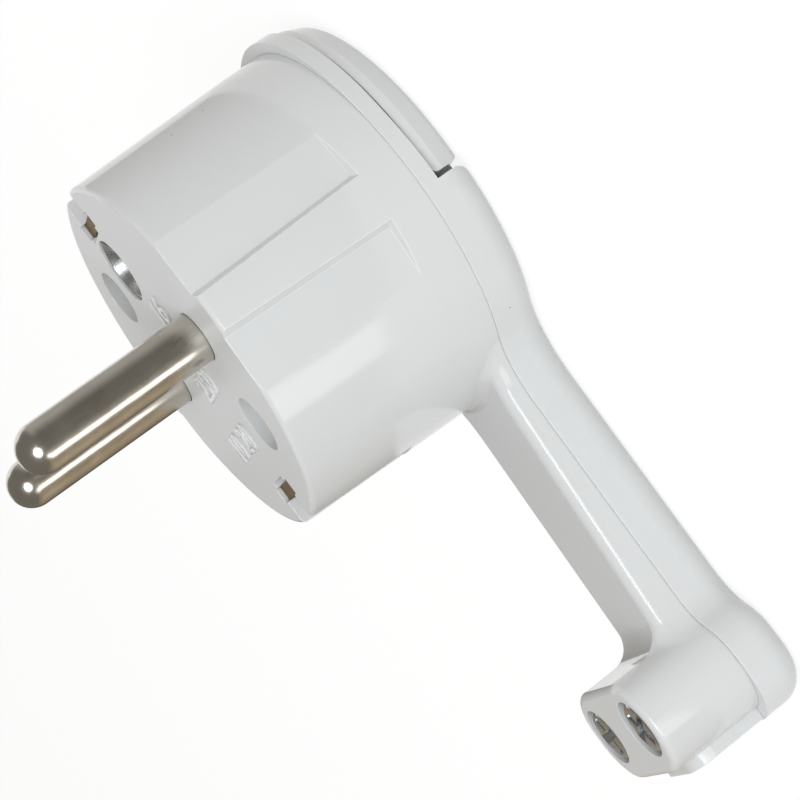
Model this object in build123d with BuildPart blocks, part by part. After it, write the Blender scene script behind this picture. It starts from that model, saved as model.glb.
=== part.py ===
"""Flat angled earthed plug with a fold-out pull handle.

The plug stands on its flat back with the pins up. The origin is on the barrel axis in the back plane,
+Z runs along the pins, +X along the arm to the cord entry and +Y along the line of the two pins.
"""

import os

from build123d import *

os.makedirs("parts", exist_ok=True)

# Contact sizes of the plug standard
PIN_DIAMETER = 4.8
PIN_LENGTH = 19.0
PIN_SPACING = 19.0
EARTH_HOLE_OFFSET = 10.0

# Barrel
BODY_HEIGHT = 26.5
PARTING_HEIGHT = 5.0
BARREL_REAR_RADIUS = 18.9
BARREL_DRAFT = 0.55
BARREL_DRAFT_START = 9.0
BARREL_EDGE_RADIUS = 0.5
BARREL_WALL = 2.9
FRONT_WALL = 3.0

# Guide flats on both sides of the barrel, with a rib between them
FLAT_LENGTH = 17.2
FLAT_DEPTH = 0.9
FLAT_FLOOR_RADIUS = 36.0
FLAT_RUN_OUT = 0.6
RIB_FRONT_HALF_WIDTH = 1.4
RIB_REAR_HALF_WIDTH = 2.15
RIB_SIDE_SLOPE = 0.6
FLAT_INNER_WALL = 3.5

# Arm between barrel and boss
ARM_ROOT_HALF_WIDTH = 8.4
ARM_END_HALF_WIDTH = 6.0
ARM_WALL = 1.6
ARM_FLARE_RADIUS = 9.0
ARM_TOP_ROOT = 7.0
ARM_TOP_RISE = 1.25
ARM_TOP_EDGE = 1.3
ARM_ROOT_OVERLAP = 5.4
ARM_ROOT_FILLET = 1.0
ARM_SPAN = 25.0

# Boss with the cord entry
BOSS_X = 50.75
BOSS_LENGTH = 9.8
BOSS_WIDTH = 19.0
BOSS_END_FLAT = 0.1
BOSS_FRONT_REACH = 0.4
BOSS_TOP = 14.95
BOSS_TOP_EDGE = 0.7
BOSS_FLARE_RADIUS = 3.6
BOSS_ROOT_FILLET = 2.5
BOSS_WALL = 1.5
BOSS_FLOOR = 3.7
COLLAR_LENGTH = 1.4
COLLAR_WIDTH = 10.4
COLLAR_TOP = 13.0
COLLAR_CORNER = 2.4
CORD_RADIUS = 3.2
CORD_AXIS_HEIGHT = 7.6
INLET_WALL = 2.4
CLAMP_RIB_LENGTH = 1.0
CLAMP_RIB_HEIGHT = 1.2
CLAMP_RIB_SPACING = 2.8

# Rear cover
SEAM_STEP = 0.12
ARM_SEAM_STEP = 0.2
BOSS_SEAM_STEP = 0.3
COVER_FLOOR = 1.8
COVER_EDGE_RADIUS = 2.6
SHOULDER_EDGE_RADIUS = 1.6
HUB_EDGE_RADIUS = 0.5
SPIGOT_HEIGHT = 1.2
SPIGOT_WALL = 1.2
SPIGOT_CLEARANCE = 0.1
LIP_REACH = 1.1
LIP_END_X = -5.75

# Pull handle and its hinge
HANDLE_THICKNESS = 2.95
HANDLE_BACK_INSET = 0.25
HANDLE_WIDTH = 4.6
HANDLE_INSET = 0.25
HANDLE_SETBACK = 0.2
HANDLE_END_X = 1.25
HANDLE_END_REACH = 1.05
HANDLE_END_BACK_RADIUS = 0.8
HANDLE_END_FRONT_RADIUS = 0.6
HANDLE_SIDE_HEIGHT = 0.9
HANDLE_BEVEL_WIDTH = 0.8
HANDLE_EDGE_RADIUS = 1.0
HANDLE_FLOOR_GAP = 0.2
HANDLE_HUB_GAP = 0.3
HANDLE_END_GAP = 0.6
HINGE_STUB_RADIUS = 1.0
HINGE_STUB_LENGTH = 2.0
HINGE_CLEARANCE = 0.05
HINGE_END_GAP = 0.2
HUB_WALL = 2.6

# Pin heads and terminals
PIN_FIT = 0.05
PIN_LIP = 0.5
PIN_ROOT_STEP = 0.2
PIN_NECK_RADIUS = 2.6
PIN_HEAD_RADIUS = 3.7
PIN_HEAD_LENGTH = 10.5
PIN_CRADLE_WALL = 1.1
PIN_CRADLE_DEPTH = 4.0
WIRE_HOLE_RADIUS = 1.6
WIRE_HOLE_SETBACK = 4.0
TERMINAL_THREAD_RADIUS = 1.5
TERMINAL_HEAD_RADIUS = 2.8
TERMINAL_HEAD_HEIGHT = 2.0

# Earth bracket
STRIP_THICKNESS = 1.5
STRIP_WIDTH = 6.0
STRIP_SPAN = 31.4
STRIP_BEND_RADIUS = 0.5
STRIP_BRIDGE_HEIGHT = 12.0
STRIP_END_DEPTH = 0.45
STRIP_FIT = 0.05
GROOVE_WIDTH = 4.4
GROOVE_SILL = 1.2
NOTCH_LENGTH = 0.6
NOTCH_DEPTH = 1.2
EARTH_BLOCK_DEPTH = 0.9
EARTH_BLOCK_WIDTH = 9.0
HOLD_DOWN_X = 13.0
HOLD_DOWN_LENGTH = 1.2
HOLD_DOWN_WIDTH = 3.0
HOLD_DOWN_GAP = 0.05
SLEEVE_OUTER_RADIUS = 3.15
SLEEVE_WALL = 0.7
SLEEVE_SLIT = 0.7
SLEEVE_FIT = 0.1
SLEEVE_END_DEPTH = 0.25
SLEEVE_FLARE = 0.5
SLEEVE_FLARE_DEPTH = 1.7
SLEEVE_FLOOR = 0.8
RIVET_SHANK_RADIUS = 1.2
RIVET_HEAD_RADIUS = 2.1
RIVET_HEAD_HEIGHT = 0.7
EARTH_SCREW_X = 5.5
EARTH_THREAD_RADIUS = 1.75
EARTH_HEAD_RADIUS = 3.2
EARTH_HEAD_HEIGHT = 2.0
EARTH_SCREW_LENGTH = 5.5
WASHER_SIZE = 7.0
WASHER_THICKNESS = 0.8
EARTH_NECK_RADIUS = 2.7
EARTH_NECK_HEIGHT = 1.2

# Housing screws
SCREW_RADIUS = 1.5
SCREW_FIT = 0.05
SCREW_PASSAGE = 0.15
COVER_SCREW_X = 9.1
COVER_SCREW_Y = 7.7
COVER_SCREW_HEAD_RADIUS = 2.55
COVER_SCREW_HOLE_RADIUS = 2.8
COVER_SCREW_HEAD_HEIGHT = 2.2
COVER_SCREW_SEAT = 12.0
COVER_SCREW_TIP = 4.2
TOWER_WALL = 1.25
TOWER_END = 9.0
POST_WALL = 1.6
POST_GAP = 0.1
CLAMP_SCREW_SPACING = 10.8
CLAMP_SCREW_HEAD_RADIUS = 2.85
CLAMP_SCREW_HOLE_RADIUS = 3.0
CLAMP_SCREW_HEAD_HEIGHT = 2.0
CLAMP_SCREW_DEPTH = 0.15
CLAMP_SCREW_TIP = 1.6
SCREW_TIP_ROOM = 0.3
CROSS_LENGTH = 3.2
CROSS_WIDTH = 0.9
CROSS_DEPTH = 1.2

# Values that several pieces share
BARREL_FRONT_RADIUS = BARREL_REAR_RADIUS - BARREL_DRAFT
CAVITY_RADIUS = BARREL_REAR_RADIUS - BARREL_WALL
CAVITY_TOP = BODY_HEIGHT - FRONT_WALL
FLAT_FLOOR = BARREL_FRONT_RADIUS - FLAT_DEPTH
CAVITY_HALF_DEPTH = FLAT_FLOOR - FLAT_INNER_WALL
ARM_ROOT_X = BARREL_REAR_RADIUS - ARM_ROOT_OVERLAP
BOSS_START = BOSS_X - BOSS_LENGTH / 2
BOSS_END = BOSS_X + BOSS_LENGTH / 2
BOSS_CHANNEL_START = BOSS_START + BOSS_WALL
BOSS_CHANNEL_END = BOSS_END - INLET_WALL
BOSS_CHANNEL_TOP = CORD_AXIS_HEIGHT + CORD_RADIUS
ARM_TOP_PLANE = Plane(
    origin=(BARREL_REAR_RADIUS, 0, ARM_TOP_ROOT),
    z_dir=(-ARM_TOP_RISE, 0, ARM_SPAN),
)
PIN_HEAD_REAR = CAVITY_TOP - PIN_HEAD_LENGTH
WIRE_HOLE_HEIGHT = PIN_HEAD_REAR + WIRE_HOLE_SETBACK
STRIP_TOP = STRIP_BRIDGE_HEIGHT + STRIP_THICKNESS
STRIP_OUTER = STRIP_SPAN / 2
STRIP_INNER = STRIP_OUTER - STRIP_THICKNESS
EARTH_BLOCK_START = STRIP_TOP + STRIP_BEND_RADIUS
EARTH_BLOCK_INNER = STRIP_INNER - EARTH_BLOCK_DEPTH
HANDLE_INNER_RADIUS = BARREL_REAR_RADIUS - HANDLE_WIDTH
HANDLE_FRONT = HANDLE_BACK_INSET + HANDLE_THICKNESS
HINGE_HEIGHT = HANDLE_BACK_INSET + HANDLE_THICKNESS / 2
HINGE_X = HANDLE_END_X - HANDLE_END_REACH
HUB_RADIUS = HANDLE_INNER_RADIUS - HANDLE_HUB_GAP
RECESS_DEPTH = HANDLE_FRONT + HANDLE_FLOOR_GAP
SHOULDER_X = HANDLE_END_X + HANDLE_END_GAP
LIP_TIP = BARREL_REAR_RADIUS + LIP_REACH
LIP_X = (BARREL_REAR_RADIUS**2 - LIP_TIP**2) / (2 * (LIP_TIP + LIP_END_X))
LIP_RADIUS = LIP_TIP + LIP_X
HANDLE_X = LIP_X + HANDLE_SETBACK
COVER_SCREW_PLACES = [(COVER_SCREW_X, COVER_SCREW_Y), (-COVER_SCREW_X, -COVER_SCREW_Y)]
CLAMP_SCREW_PLACES = [(BOSS_X, CLAMP_SCREW_SPACING / 2), (BOSS_X, -CLAMP_SCREW_SPACING / 2)]
CLAMP_SCREW_SEAT = BOSS_TOP - CLAMP_SCREW_DEPTH - CLAMP_SCREW_HEAD_HEIGHT
PIN_RADIUS = PIN_DIAMETER / 2
PIN_ROOT_RADIUS = PIN_RADIUS - PIN_ROOT_STEP
PIN_TIP = BODY_HEIGHT + PIN_LENGTH
PIN_AXIS = Axis((0, PIN_SPACING / 2, 0), (0, 0, 1))
HINGE_BORE_END = HANDLE_INNER_RADIUS - HINGE_STUB_LENGTH - HINGE_END_GAP
PIN_PLACES = [(0, PIN_SPACING / 2), (0, -PIN_SPACING / 2)]


def boss_plan(margin, reach):
    """Plan of the boss alone, longer by the reach at the cord entry."""
    with BuildSketch() as plan:
        with Locations((BOSS_X + reach / 2, 0)):
            RectangleRounded(
                BOSS_LENGTH + reach + 2 * margin,
                BOSS_WIDTH + 2 * margin,
                BOSS_LENGTH / 2 + margin - BOSS_END_FLAT,
            )
    return plan.sketch


def shell_plan(margin, boss_margin, boss_reach):
    """Plan of the shell: barrel, tapered arm and oblong boss, with the hollows between them rounded."""
    with BuildSketch() as plan:
        Circle(BARREL_REAR_RADIUS + margin)
        with BuildLine():
            Polyline(
                (0, ARM_ROOT_HALF_WIDTH + margin),
                (BOSS_X, ARM_END_HALF_WIDTH + margin),
                (BOSS_X, -ARM_END_HALF_WIDTH - margin),
                (0, -ARM_ROOT_HALF_WIDTH - margin),
                close=True,
            )
        make_face()
        fillet(plan.vertices().sort_by(Axis.X)[:2], ARM_FLARE_RADIUS)
        add(boss_plan(boss_margin, boss_reach))
        boss_corners = plan.vertices().filter_by_position(Axis.X, BOSS_START, BOSS_X)
        fillet(boss_corners.sort_by(Axis.X)[:2], BOSS_FLARE_RADIUS)
    return plan.sketch


def cavity_plan(inset):
    """Plan of the barrel cavity, flattened behind the guide flats."""
    with BuildSketch() as plan:
        Circle(CAVITY_RADIUS - inset)
        Rectangle(2 * CAVITY_RADIUS, 2 * (CAVITY_HALF_DEPTH - inset), mode=Mode.INTERSECT)
    return plan.sketch


def channel_plan():
    """Plan of the flat channel that takes the three wires along the arm."""
    with BuildSketch() as plan:
        with BuildLine():
            Polyline(
                (0, ARM_ROOT_HALF_WIDTH - ARM_WALL),
                (BOSS_CHANNEL_START, ARM_END_HALF_WIDTH - ARM_WALL),
                (BOSS_CHANNEL_START, -ARM_END_HALF_WIDTH + ARM_WALL),
                (0, -ARM_ROOT_HALF_WIDTH + ARM_WALL),
                close=True,
            )
        make_face()
    return plan.sketch


def cord_channel_plan():
    """Plan of the cord channel in the boss."""
    with BuildSketch() as plan:
        with Locations((BOSS_CHANNEL_START, 0)):
            Rectangle(
                BOSS_CHANNEL_END - BOSS_CHANNEL_START,
                2 * CORD_RADIUS,
                align=(Align.MIN, Align.CENTER),
            )
    return plan.sketch


def clamp_rib_plan():
    """Plan of the two ribs that grip the cord."""
    with BuildSketch() as plan:
        with Locations((BOSS_X, 0)):
            with GridLocations(CLAMP_RIB_SPACING, 0, 2, 1):
                Rectangle(CLAMP_RIB_LENGTH, 2 * CORD_RADIUS)
    return plan.sketch


def cord_section():
    """Section of the cord inlet."""
    with BuildSketch() as plan:
        with Locations((0, CORD_AXIS_HEIGHT)):
            Circle(CORD_RADIUS)
    return plan.sketch


def cross_recess():
    """Outline of the cross recess in a screw head."""
    with BuildSketch() as plan:
        Rectangle(CROSS_LENGTH, CROSS_WIDTH)
        Rectangle(CROSS_WIDTH, CROSS_LENGTH)
    return plan.sketch


def flat_section(half_width, floor):
    """Section of one guide flat beside the rib, with a slightly round floor and a sloping rib side."""
    with BuildSketch() as section:
        with BuildLine():
            Polyline(
                (half_width + RIB_SIDE_SLOPE * BARREL_REAR_RADIUS, 0),
                (BARREL_REAR_RADIUS, 0),
                (BARREL_REAR_RADIUS, 2 * BARREL_REAR_RADIUS),
                (half_width - RIB_SIDE_SLOPE * BARREL_REAR_RADIUS, 2 * BARREL_REAR_RADIUS),
                close=True,
            )
        make_face()
        with Locations((0, floor - FLAT_FLOOR_RADIUS)):
            Circle(FLAT_FLOOR_RADIUS, mode=Mode.SUBTRACT)
    return section.sketch


# Guide flats, cut out of both sides of the barrel
with BuildPart() as guide_flats:
    flat_end = BODY_HEIGHT - FLAT_LENGTH
    with BuildSketch(Plane.XY.offset(BODY_HEIGHT)):
        add(flat_section(RIB_FRONT_HALF_WIDTH, FLAT_FLOOR))
    with BuildSketch(Plane.XY.offset(flat_end)):
        add(flat_section(RIB_REAR_HALF_WIDTH, BARREL_REAR_RADIUS - FLAT_DEPTH))
    with BuildSketch(Plane.XY.offset(flat_end - FLAT_RUN_OUT)):
        add(flat_section(RIB_REAR_HALF_WIDTH, BARREL_REAR_RADIUS))
    loft(ruled=True)
    mirror(about=Plane.YZ)
    mirror(about=Plane.XZ)

# Front half of the arm, with its sloping top and rounded edges
with BuildPart() as front_arm:
    with BuildSketch(Plane.XY.offset(PARTING_HEIGHT)):
        add(shell_plan(-ARM_SEAM_STEP, -BOSS_SEAM_STEP, 0))
        with Locations((ARM_ROOT_X, 0)):
            Rectangle(
                BOSS_X - ARM_ROOT_X,
                2 * BARREL_REAR_RADIUS,
                align=(Align.MIN, Align.CENTER),
                mode=Mode.INTERSECT,
            )
    extrude(amount=BOSS_TOP)
    split(bisect_by=ARM_TOP_PLANE, keep=Keep.BOTTOM)
    arm_top_edges = front_arm.faces().sort_by(Axis.Z)[-1].edges()
    fillet(arm_top_edges.sort_by(Axis.X)[1:-1], ARM_TOP_EDGE)

# Wire channel in the front half of the arm
with BuildPart() as front_channel:
    with BuildSketch(Plane.XY.offset(PARTING_HEIGHT)):
        add(channel_plan())
    extrude(amount=BOSS_TOP)
    split(bisect_by=ARM_TOP_PLANE.offset(-ARM_WALL), keep=Keep.BOTTOM)

# Wire channel in the rear half of the arm
with BuildPart() as rear_channel:
    with BuildSketch(Plane.XY.offset(COVER_FLOOR)):
        add(channel_plan())
    extrude(amount=PARTING_HEIGHT - COVER_FLOOR)

# Collar round the cord entry, flush with the end of the cover
with BuildPart() as cord_collar:
    with BuildSketch(Plane.YZ.offset(BOSS_X)) as collar:
        with Locations((0, PARTING_HEIGHT)):
            Rectangle(COLLAR_WIDTH, COLLAR_TOP - PARTING_HEIGHT, align=(Align.CENTER, Align.MIN))
        fillet(collar.vertices().group_by(Axis.Y)[-1], COLLAR_CORNER)
    extrude(amount=BOSS_LENGTH)
    with BuildSketch(Plane.XY.offset(PARTING_HEIGHT)):
        add(boss_plan(-SEAM_STEP, COLLAR_LENGTH))
    extrude(amount=BOSS_TOP, mode=Mode.INTERSECT)

with BuildPart() as front_body:
    add(front_arm.part)
    with BuildSketch(Plane.XY.offset(PARTING_HEIGHT)):
        add(boss_plan(-BOSS_SEAM_STEP, BOSS_FRONT_REACH))
    extrude(amount=BOSS_TOP - PARTING_HEIGHT)
    fillet(front_body.edges(Select.NEW), BOSS_ROOT_FILLET)
    fillet(front_body.faces().sort_by(Axis.Z)[-1].edges(), BOSS_TOP_EDGE)
    # Barrel, straight beside the arm and with draft towards the front
    with BuildSketch(Plane.XZ):
        with BuildLine():
            Polyline(
                (0, PARTING_HEIGHT),
                (BARREL_REAR_RADIUS - SEAM_STEP, PARTING_HEIGHT),
                (BARREL_REAR_RADIUS - SEAM_STEP, BARREL_DRAFT_START),
                (BARREL_FRONT_RADIUS, BODY_HEIGHT),
                (0, BODY_HEIGHT),
                close=True,
            )
        make_face()
    revolve(axis=Axis.Z)
    fillet(front_body.edges(Select.NEW), ARM_ROOT_FILLET)
    fillet(front_body.edges().group_by(Axis.Z)[-1], BARREL_EDGE_RADIUS)
    add(guide_flats.part, mode=Mode.SUBTRACT)
    add(cord_collar.part)
    # Barrel cavity and wire channel
    with BuildSketch(Plane.XY.offset(PARTING_HEIGHT)):
        add(cavity_plan(0))
    extrude(amount=CAVITY_TOP - PARTING_HEIGHT, mode=Mode.SUBTRACT)
    add(front_channel.part, mode=Mode.SUBTRACT)
    # Blocks behind the earth bracket's ends
    with BuildSketch(Plane.XY.offset(EARTH_BLOCK_START)):
        with Locations((EARTH_BLOCK_INNER, 0)):
            Rectangle(
                CAVITY_RADIUS + STRIP_THICKNESS - EARTH_BLOCK_INNER,
                EARTH_BLOCK_WIDTH,
                align=(Align.MIN, Align.CENTER),
            )
        mirror(about=Plane.YZ)
    extrude(amount=CAVITY_TOP - EARTH_BLOCK_START)
    # Cradles round the pin heads and towers round the cover screws
    with BuildSketch(Plane.XY.offset(CAVITY_TOP - PIN_CRADLE_DEPTH)):
        with Locations(*PIN_PLACES):
            Circle(PIN_HEAD_RADIUS + PIN_FIT + PIN_CRADLE_WALL)
    extrude(amount=PIN_CRADLE_DEPTH)
    with BuildSketch(Plane.XY.offset(TOWER_END)):
        with Locations(*COVER_SCREW_PLACES):
            Circle(COVER_SCREW_HOLE_RADIUS + TOWER_WALL)
    extrude(amount=CAVITY_TOP - TOWER_END)
    # Holes for the pins, the earth contact and the cover screws
    with BuildSketch(Plane.XY.offset(CAVITY_TOP - PIN_CRADLE_DEPTH)):
        with Locations(*PIN_PLACES):
            Circle(PIN_HEAD_RADIUS + PIN_FIT)
    extrude(amount=PIN_CRADLE_DEPTH, mode=Mode.SUBTRACT)
    with BuildSketch(Plane.XY.offset(CAVITY_TOP)):
        with Locations(*PIN_PLACES):
            Circle(PIN_NECK_RADIUS + PIN_FIT)
    extrude(amount=FRONT_WALL - PIN_LIP, mode=Mode.SUBTRACT)
    with BuildSketch(Plane.XY.offset(CAVITY_TOP)):
        with Locations(*PIN_PLACES):
            Circle(PIN_RADIUS + PIN_FIT)
        with Locations((-EARTH_HOLE_OFFSET, 0)):
            Circle(SLEEVE_OUTER_RADIUS + SLEEVE_FIT)
    extrude(amount=FRONT_WALL, mode=Mode.SUBTRACT)
    with BuildSketch(Plane.XY.offset(COVER_SCREW_SEAT)):
        with Locations(*COVER_SCREW_PLACES):
            Circle(COVER_SCREW_HOLE_RADIUS)
    extrude(amount=BODY_HEIGHT - COVER_SCREW_SEAT, mode=Mode.SUBTRACT)
    with BuildSketch(Plane.XY.offset(TOWER_END)):
        with Locations(*COVER_SCREW_PLACES):
            Circle(SCREW_RADIUS + SCREW_PASSAGE)
    extrude(amount=COVER_SCREW_SEAT - TOWER_END, mode=Mode.SUBTRACT)
    # Slots for the earth bracket's ends and grooves that show them
    with BuildSketch(Plane.XY.offset(EARTH_BLOCK_START)):
        with Locations(((STRIP_INNER + STRIP_OUTER) / 2, 0)):
            Rectangle(STRIP_THICKNESS + 2 * STRIP_FIT, STRIP_WIDTH + 2 * STRIP_FIT)
        mirror(about=Plane.YZ)
    extrude(amount=BODY_HEIGHT - EARTH_BLOCK_START, mode=Mode.SUBTRACT)
    with BuildSketch(Plane.XY.offset(EARTH_BLOCK_START + GROOVE_SILL)):
        with Locations((STRIP_OUTER, 0)):
            Rectangle(BARREL_REAR_RADIUS, GROOVE_WIDTH, align=(Align.MIN, Align.CENTER))
        mirror(about=Plane.YZ)
    extrude(amount=BODY_HEIGHT, mode=Mode.SUBTRACT)
    with BuildSketch(Plane.XY.offset(BODY_HEIGHT)):
        with Locations((STRIP_INNER, 0)):
            Rectangle(NOTCH_LENGTH, GROOVE_WIDTH, align=(Align.MAX, Align.CENTER))
        mirror(about=Plane.YZ)
    extrude(amount=-NOTCH_DEPTH, mode=Mode.SUBTRACT)
    # Cord channel with its clamping ribs, and the cord inlet
    with BuildSketch(Plane.XY.offset(PARTING_HEIGHT)):
        add(cord_channel_plan())
    extrude(amount=BOSS_CHANNEL_TOP - PARTING_HEIGHT, mode=Mode.SUBTRACT)
    with BuildSketch(Plane.XY.offset(BOSS_CHANNEL_TOP)):
        add(clamp_rib_plan())
    extrude(amount=-CLAMP_RIB_HEIGHT)
    with BuildSketch(Plane.YZ.offset(BOSS_CHANNEL_END)):
        add(cord_section())
    extrude(amount=INLET_WALL + COLLAR_LENGTH, mode=Mode.SUBTRACT)
    # Holes for the clamp screws
    with BuildSketch(Plane.XY.offset(CLAMP_SCREW_SEAT)):
        with Locations(*CLAMP_SCREW_PLACES):
            Circle(CLAMP_SCREW_HOLE_RADIUS)
    extrude(amount=BOSS_TOP - CLAMP_SCREW_SEAT, mode=Mode.SUBTRACT)
    with BuildSketch(Plane.XY.offset(PARTING_HEIGHT)):
        with Locations(*CLAMP_SCREW_PLACES):
            Circle(SCREW_RADIUS + SCREW_PASSAGE)
    extrude(amount=CLAMP_SCREW_SEAT - PARTING_HEIGHT, mode=Mode.SUBTRACT)
front_body.part.label = "front_body"
export_step(front_body.part, "parts/front_body.step")

# Bores for the stubs of the handle
with BuildPart() as hinge_bores:
    with BuildSketch(Plane.XZ.offset(HINGE_BORE_END)):
        with Locations((HINGE_X, HINGE_HEIGHT)):
            Circle(HINGE_STUB_RADIUS + HINGE_CLEARANCE)
    extrude(amount=HANDLE_INNER_RADIUS - HINGE_BORE_END)
    mirror(about=Plane.XZ)

# Hub that the handle lies round
with BuildPart() as hub:
    with BuildSketch():
        Circle(HUB_RADIUS)
    extrude(amount=RECESS_DEPTH)
    fillet(hub.edges().group_by(Axis.Z)[0], HUB_EDGE_RADIUS)

# Recess for the handle, with a rounded edge where it ends
with BuildPart() as handle_recess:
    with BuildSketch(Plane.XZ):
        with BuildLine():
            Polyline(
                (SHOULDER_X + SHOULDER_EDGE_RADIUS, 0),
                (-2 * BARREL_REAR_RADIUS, 0),
                (-2 * BARREL_REAR_RADIUS, RECESS_DEPTH),
                (SHOULDER_X, RECESS_DEPTH),
                (SHOULDER_X, SHOULDER_EDGE_RADIUS),
            )
            CenterArc(
                (SHOULDER_X + SHOULDER_EDGE_RADIUS, SHOULDER_EDGE_RADIUS), SHOULDER_EDGE_RADIUS, 180, 90
            )
        make_face()
    extrude(amount=2 * BARREL_REAR_RADIUS, both=True)
    add(hub.part, mode=Mode.SUBTRACT)

with BuildPart() as rear_cover:
    with BuildSketch():
        add(shell_plan(0, 0, COLLAR_LENGTH))
    extrude(amount=PARTING_HEIGHT)
    fillet(rear_cover.edges().group_by(Axis.Z)[0], COVER_EDGE_RADIUS)
    # Thumb lip over the handle
    with BuildSketch(Plane.XY.offset(RECESS_DEPTH)):
        with Locations((LIP_X, 0)):
            Circle(LIP_RADIUS)
    extrude(amount=PARTING_HEIGHT - RECESS_DEPTH)
    # Hollow behind the terminals and the wire channel
    with BuildSketch(Plane.XY.offset(COVER_FLOOR)):
        add(cavity_plan(SPIGOT_CLEARANCE + SPIGOT_WALL))
        with Locations((SHOULDER_X + HUB_WALL, 0)):
            Rectangle(
                CAVITY_RADIUS,
                2 * CAVITY_RADIUS,
                align=(Align.MIN, Align.CENTER),
                mode=Mode.INTERSECT,
            )
        Circle(HUB_RADIUS - HUB_WALL)
    extrude(amount=PARTING_HEIGHT - COVER_FLOOR, mode=Mode.SUBTRACT)
    add(rear_channel.part, mode=Mode.SUBTRACT)
    # Spigot that centres the cover in the barrel, left out where the wires pass
    with BuildSketch(Plane.XY.offset(PARTING_HEIGHT)):
        add(cavity_plan(SPIGOT_CLEARANCE))
        add(cavity_plan(SPIGOT_CLEARANCE + SPIGOT_WALL), mode=Mode.SUBTRACT)
        with Locations((CAVITY_RADIUS, 0)):
            Rectangle(CAVITY_RADIUS, 2 * ARM_ROOT_HALF_WIDTH, mode=Mode.SUBTRACT)
    extrude(amount=SPIGOT_HEIGHT)
    # Posts for the cover screws and ribs that hold the earth bracket down
    with BuildSketch(Plane.XY.offset(COVER_FLOOR)):
        with Locations(*COVER_SCREW_PLACES):
            Circle(SCREW_RADIUS + POST_WALL)
    extrude(amount=TOWER_END - POST_GAP - COVER_FLOOR)
    with BuildSketch(Plane.XY.offset(COVER_FLOOR)):
        with Locations((HOLD_DOWN_X, 0), (-HOLD_DOWN_X, 0)):
            Rectangle(HOLD_DOWN_LENGTH, HOLD_DOWN_WIDTH)
    extrude(amount=STRIP_BRIDGE_HEIGHT - HOLD_DOWN_GAP - COVER_FLOOR)
    add(handle_recess.part, mode=Mode.SUBTRACT)
    # Holes for the cover screws
    with BuildSketch(Plane.XY.offset(COVER_SCREW_TIP - SCREW_TIP_ROOM)):
        with Locations(*COVER_SCREW_PLACES):
            Circle(SCREW_RADIUS + SCREW_FIT)
    extrude(amount=TOWER_END, mode=Mode.SUBTRACT)
    # Cord channel, clamping ribs, inlet and holes for the clamp screws
    with BuildSketch(Plane.XY.offset(BOSS_FLOOR)):
        add(cord_channel_plan())
    extrude(amount=PARTING_HEIGHT - BOSS_FLOOR, mode=Mode.SUBTRACT)
    with BuildSketch(Plane.XY.offset(BOSS_FLOOR)):
        add(clamp_rib_plan())
    extrude(amount=CLAMP_RIB_HEIGHT)
    with BuildSketch(Plane.YZ.offset(BOSS_CHANNEL_END)):
        add(cord_section())
    extrude(amount=INLET_WALL + COLLAR_LENGTH, mode=Mode.SUBTRACT)
    with BuildSketch(Plane.XY.offset(CLAMP_SCREW_TIP - SCREW_TIP_ROOM)):
        with Locations(*CLAMP_SCREW_PLACES):
            Circle(SCREW_RADIUS + SCREW_FIT)
    extrude(amount=PARTING_HEIGHT, mode=Mode.SUBTRACT)
    add(hinge_bores.part, mode=Mode.SUBTRACT)
rear_cover.part.label = "rear_cover"
export_step(rear_cover.part, "parts/rear_cover.step")

with BuildPart() as pull_handle:
    # Disc with a bevelled and rounded back edge, opened to a ring
    handle_edge = HANDLE_X + LIP_RADIUS - HANDLE_INSET
    with BuildSketch(Plane.XZ) as handle_section:
        with BuildLine():
            Polyline(
                (HANDLE_X, HANDLE_BACK_INSET),
                (handle_edge - HANDLE_BEVEL_WIDTH, HANDLE_BACK_INSET),
                (handle_edge, HANDLE_FRONT - HANDLE_SIDE_HEIGHT),
                (handle_edge, HANDLE_FRONT),
                (HANDLE_X, HANDLE_FRONT),
                close=True,
            )
        make_face()
        fillet(handle_section.vertices().group_by(Axis.Y)[0].sort_by(Axis.X)[-1], HANDLE_EDGE_RADIUS)
    revolve(axis=Axis((HANDLE_X, 0, 0), (0, 0, 1)))
    with BuildSketch():
        Circle(HANDLE_INNER_RADIUS)
    extrude(amount=HANDLE_FRONT, mode=Mode.SUBTRACT)
    handle_back_edges = pull_handle.edges().group_by(Axis.Z)[0].sort_by(SortBy.RADIUS)
    fillet(handle_back_edges[0], HUB_EDGE_RADIUS)
    # Half of the ring stays, its ends rounded so that they clear the recess when the handle swings
    with BuildSketch(Plane.XZ) as handle_side:
        with Locations((HANDLE_END_X, HANDLE_BACK_INSET)):
            Rectangle(2 * LIP_RADIUS, HANDLE_THICKNESS, align=(Align.MAX, Align.MIN))
        front_corner = handle_side.vertices().sort_by(Axis.X)[-2:].sort_by(Axis.Y)[-1]
        fillet(front_corner, HANDLE_END_FRONT_RADIUS)
        back_corner = handle_side.vertices().sort_by(Axis.X)[-2:].sort_by(Axis.Y)[0]
        fillet(back_corner, HANDLE_END_BACK_RADIUS)
    extrude(amount=2 * LIP_RADIUS, both=True, mode=Mode.INTERSECT)
    with BuildSketch(Plane.XZ.offset(HINGE_BORE_END + HINGE_END_GAP)):
        with Locations((HINGE_X, HINGE_HEIGHT)):
            Circle(HINGE_STUB_RADIUS)
    extrude(amount=2 * HINGE_STUB_LENGTH)
    mirror(about=Plane.XZ)
pull_handle.part.label = "pull_handle"
export_step(pull_handle.part, "parts/pull_handle.step")

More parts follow.
